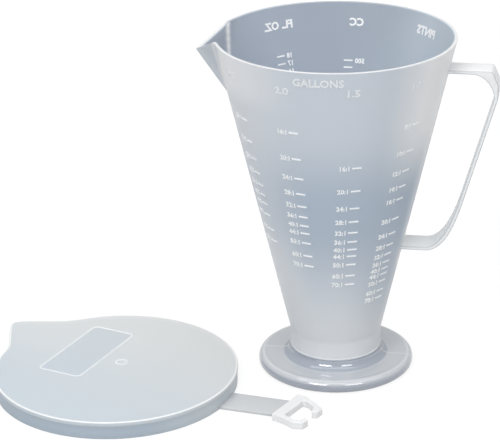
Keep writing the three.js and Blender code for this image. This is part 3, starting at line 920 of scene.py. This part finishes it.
def raised_outline(name, outline, height):
    """A closed outline as a floor, a roof and one wall for each of its sides, set on the end of
    the strap."""
    count = len(outline)
    ground = np.column_stack([np.array(outline, float), np.zeros(count)])
    points = turned(np.vstack([ground, ground + [0, 0, height]]), CLIP_TURN)
    points = turned(points + [TETHER_LENGTH, 0, 0], TETHER_TURN)
    walls = grid_quads(np.arange(2 * count).reshape(2, count)).tolist()
    ends = [tuple(range(count, 2 * count)), tuple(range(count))[::-1]]
    piece = finished(name, mesh_of(name, points, TETHER_AT, walls + ends))
    soft = piece.modifiers.new("soft edges", "BEVEL")
    soft.width, soft.segments, soft.limit_method = CLIP_SOFT, CLIP_STEPS, "ANGLE"
    return piece


lid_clip = raised_outline("lid_clip", CLIP, CLIP_HEIGHT)

# %% [markdown]
# ## Milky plastic
#
# Natural polypropylene scatters light inside its wall. Tracing that scatter is slow and is lost
# when the model leaves Blender, so each surface gets a milky colour and lets a share of what is
# behind it through by Alpha. Two skins of the wall then add up as the real wall does. The inside
# is painted blue grey, a painted shade. Soft masks over height and direction, in metres, paint a
# bluer shade on the middle of the scale side, standing for the darker inside seen through the thin
# wall. The lip and the rims are paler: partly where the plastic is thick, partly a painted
# highlight where their edges catch light. The handle's rims get a painted shade.

# %% Where the cup's wall gets a painted shade and where it is pale
SCALE_SIDE = math.radians(-82.5)


def pale_corner(aside, height):
    """1 high up, between the scale and the handle, where the wall looks palest."""
    return aside.ramp(0.4, 0.9) * height.ramp(0.094, 0.144)


def blue_zone(aside, height):
    """How much painted shade the wall gets, standing for the darker inside seen through it. It
    grows from the collar to mid height, falls a little above it and fades on both sides: towards
    the spout, most near the rim and low down, and in the pale corner. Low down it reaches further
    towards the handle."""
    inside_shade = height.ramp(0.012, 0.088) * (1 - 0.4 * height.ramp(0.098, 0.140))
    fade = 0.45 + 0.55 * height.ramp(0.142, 0.156) + 0.25 * (1 - height.ramp(0.055, 0.095))
    inside_shade = inside_shade * (1 - fade * (0 - aside).ramp(0.25, 0.95))
    inside_shade = inside_shade * (1 - 1.2 * pale_corner(aside, height)) * (1 - 0.5 * aside.ramp(0.86, 1.0))
    return inside_shade + 0.25 * aside.ramp(0.0, 1.0) * height.band(0.02, 0.04, 0.045, 0.08)


print("the scale's middle faces", round(math.degrees(SCALE_SIDE), 1), "degrees from +X")

# %% Tones of the outside, the inside and the foot
def outer_tone(paint, x, y, height, inside_shade, low, spout, cloud):
    """Milky and greyer low down. A blue painted shade of the inside shows in the middle of the
    scale side, the spout is darker with a painted shade, and a painted highlight makes the place
    where the handle's lower arm is rooted paler."""
    tone = paint.blend(cloud, seen(246, 247, 249), seen(252, 252, 252))
    tone = paint.blend(low, tone, seen(232, 235, 238))
    tone = paint.blend(inside_shade, tone, seen(184, 197, 212))
    tone = paint.blend(spout, tone, seen(206, 213, 221))
    root_highlight = y.near(0.0055, 0.0082) * x.ramp(0.0, 0.01) * height.band(0.0535, 0.058, 0.075, 0.080)
    return paint.blend(root_highlight, tone, seen(246, 247, 248))


def inner_tone(paint, x, y, low, spout):
    """Blue grey, a painted shade of the cup's inside: paler towards the handle and in the sump,
    darker at the back and darkest in the spout.
    """
    tone = paint.blend(x.ramp(-0.03, 0.055), seen(176, 186, 201), seen(200, 212, 222))
    tone = paint.blend(y.ramp(0.035, 0.056) * 0.8, tone, seen(162, 172, 186))
    tone = paint.blend(low, tone, seen(208, 214, 220))
    return paint.blend(spout, tone, seen(142, 152, 165))


def foot_tone(paint, y, height, reach):
    """Darker on the side and in the cove, a painted shade, with a fine ring near the edge and the
    parting seam.
    """
    # Painted shade: the foot's upright side is darker than its top.
    tone = paint.blend(height.ramp(0.003, 0.0055), seen(152, 160, 174), seen(211, 215, 220))
    # Painted shade in the cove under the collar.
    cove = (1 - reach.ramp(0.0252, 0.0262)) * height.ramp(0.0052, 0.0056)
    tone = paint.blend(cove, tone, seen(172, 180, 193))
    ring, seam = reach.band(0.0352, 0.0356, 0.0362, 0.0367), y.near(0.0002, 0.0006)
    lines = ring.larger(seam) * height.ramp(0.004, 0.005)
    return paint.blend(lines * 0.6, tone, seen(240, 241, 242))


print("the inside's blue grey in linear light:", [round(v, 3) for v in seen(176, 186, 201)])

# %% The cup's plastic
GRAIN_SCALE, GRAIN_STRENGTH, GRAIN_DEPTH = 900.0, 0.04, 0.0002


def cup_plastic():
    paint = painted("cup_plastic")
    inside, foot, edge = (paint.attribute(name) for name in ("inside", "foot", "edge"))
    at = paint.place((-CUP_AT[0] * MM, -CUP_AT[1] * MM, 0))
    x, y, height = paint.axes(at)
    reach = paint.maths("SQRT", x * x + y * y)
    aside = (y * math.cos(SCALE_SIDE) - x * math.sin(SCALE_SIDE)) / reach
    cloud = paint.noise(at, 28.0, 2.0)
    low = 1 - height.ramp(0.02, 0.075)
    # The spout mask places the painted shade of the spout, on its inside and its outside.
    spout = 1 - x.ramp(-0.056, -0.050)
    outer = outer_tone(paint, x, y, height, blue_zone(aside, height), low, spout, cloud)
    colour = paint.blend(inside, outer, inner_tone(paint, x, y, low, spout))
    colour = paint.blend(foot, colour, foot_tone(paint, y, height, reach))
    # Paler and more solid on the lip, partly thick plastic and partly a painted highlight, and a
    # painted highlight along the spout's creases.
    colour = paint.blend(edge, colour, seen(232, 232, 232))
    alpha = 0.8 + 0.04 * foot + 0.06 * low + 0.08 * pale_corner(aside, height) * (1 - inside)
    alpha = alpha + (0.92 - alpha) * edge
    roughness = 0.42 - 0.1 * inside - 0.34 * foot + 0.05 * cloud
    grain = {"Height": paint.noise(at, GRAIN_SCALE, 2.0), "Strength": GRAIN_STRENGTH,
             "Distance": GRAIN_DEPTH}
    glossy_foot = {"Coat Weight": foot * 0.9, "Coat Roughness": 0.06, "Coat IOR": 2.0,
                   "Normal": paint.node("ShaderNodeBump", {}, grain)}
    return paint.finish_plastic(colour, alpha, roughness, glossy_foot)


body_plastic = cup_plastic()
print("the cup's plastic has", len(body_plastic.node_tree.nodes), "nodes")

# %% Plain plastics, the numbers and the handle
def plain_plastic(name, low_colour, high_colour, alpha, roughness):
    """A milky plastic whose colour wanders a little between two tones."""
    paint = painted(name)
    cloud = paint.noise(paint.place(), 14.0, 1.0)
    colour = paint.blend(cloud.ramp(0.3, 0.7), low_colour, high_colour)
    return paint.finish_plastic(colour, alpha, roughness + 0.05 * cloud)


def number_plastic():
    """The characters: white on the lower cone, and fainter in the headings near the rim."""
    paint = painted("scale_number_plastic")
    _, _, height = paint.axes(paint.place())
    heading = height.ramp(0.150, 0.155)
    colour = paint.blend(heading, seen(248, 250, 251), seen(240, 243, 246))
    return paint.finish_plastic(colour, 0.95 - 0.08 * heading, 0.4)


def handle_plastic():
    """Nearly solid and pale on the flat of the strap, greyer along its rims with a painted shade.
    """
    paint = painted("handle_plastic")
    cloud = paint.noise(paint.place(), 22.0, 2.0)
    colour = paint.blend(cloud, seen(236, 238, 240), seen(246, 247, 247))
    colour = paint.blend(paint.attribute("edge"), colour, seen(206, 210, 214))
    return paint.finish_plastic(colour, 0.86, 0.34 + 0.05 * cloud)


PLAIN = [  # name, low and high tone, alpha, roughness
    ("scale_mark_plastic", (244, 246, 248), (250, 251, 252), 0.95, 0.4),
    ("scale_back_plastic", (253, 253, 253), (255, 255, 255), 1.0, 0.4),
    ("lid_bead_plastic", (232, 236, 239), (240, 242, 243), 0.95, 0.4),
    ("lid_strap_plastic", (206, 208, 211), (214, 216, 218), 0.85, 0.42),
    ("lid_clip_plastic", (244, 245, 246), (250, 250, 250), 0.87, 0.36),
]
mark_plastic, back_plastic, bead_plastic, strap_plastic, clip_plastic = (
    plain_plastic(name, seen(*low), seen(*high), alpha, roughness)
    for name, low, high, alpha, roughness in PLAIN)
print("plain plastics:", [name for name, *_ in PLAIN])

# %% The lid's plastic
def framed(across, deep):
    """1 inside the bare frame and 0 outside, from the distances to its middle along and across."""
    side, rise = across - FRAME_AT[0] * MM, deep - FRAME_AT[1] * MM
    along = side * math.cos(FRAME_TURN) + rise * math.sin(FRAME_TURN)
    over = rise * math.cos(FRAME_TURN) - side * math.sin(FRAME_TURN)
    return along.near(0.0255, 0.0262) * over.near(0.0105, 0.0112)


def lid_plastic():
    """Paler towards the far side and bluer in the frame. The skirt is bluer with a painted shade
    that is lighter near the strap, and a painted highlight runs round the rounded top edge."""
    paint = painted("lid_plastic")
    at = paint.place((-LID_AT[0] * MM, -LID_AT[1] * MM, 0))
    across, deep, height = paint.axes(at)
    cloud = paint.noise(at, 12.0, 1.0)
    far = (deep + across * 0.5 + cloud * 0.02).ramp(-0.05, 0.07)
    colour = paint.blend(far, seen(203, 212, 219), seen(222, 224, 224))
    colour = paint.blend(framed(across, deep) * 0.5, colour, seen(194, 205, 214))
    # Painted shade on the skirt, lighter near the strap.
    side = paint.blend(across.ramp(0.02, 0.06), seen(178, 192, 204), seen(208, 215, 221))
    colour = paint.blend(1 - height.ramp(0.0062, 0.0072), colour, side)
    fine_line = height.band(0.0066, 0.0069, 0.0071, 0.0074)
    colour = paint.blend(fine_line * 0.7, colour, seen(226, 231, 235))
    # Painted highlight along the rounded top edge.
    edge = paint.attribute("edge") * 0.85
    colour = paint.blend(edge, colour, seen(248, 248, 247))
    return paint.finish_plastic(colour, 0.9 + 0.06 * edge, 0.42 + 0.06 * cloud)


shell_plastic = lid_plastic()
print("the lid's plastic has", len(shell_plastic.node_tree.nodes), "nodes")

# %% Give each piece its plastic, body and slot, and hide the node it stands for
def give(piece, material, stands_for):
    piece.data.materials.append(material)
    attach(piece, "root")
    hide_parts(stands_for)


for piece, material in [(cup_body, body_plastic), (handle, handle_plastic()),
                        (scale_marks, mark_plastic), (scale_numbers, number_plastic()),
                        (scale_back, back_plastic)]:
    give(piece, material, "cup")
for piece, material in [(lid_shell, shell_plastic), (lid_frame, bead_plastic),
                        (lid_gate, bead_plastic), (lid_strap, strap_plastic),
                        (lid_clip, clip_plastic)]:
    give(piece, material, "lid")

# %% Close
scene = bpy.context.scene
scene.view_settings.view_transform = "Standard"
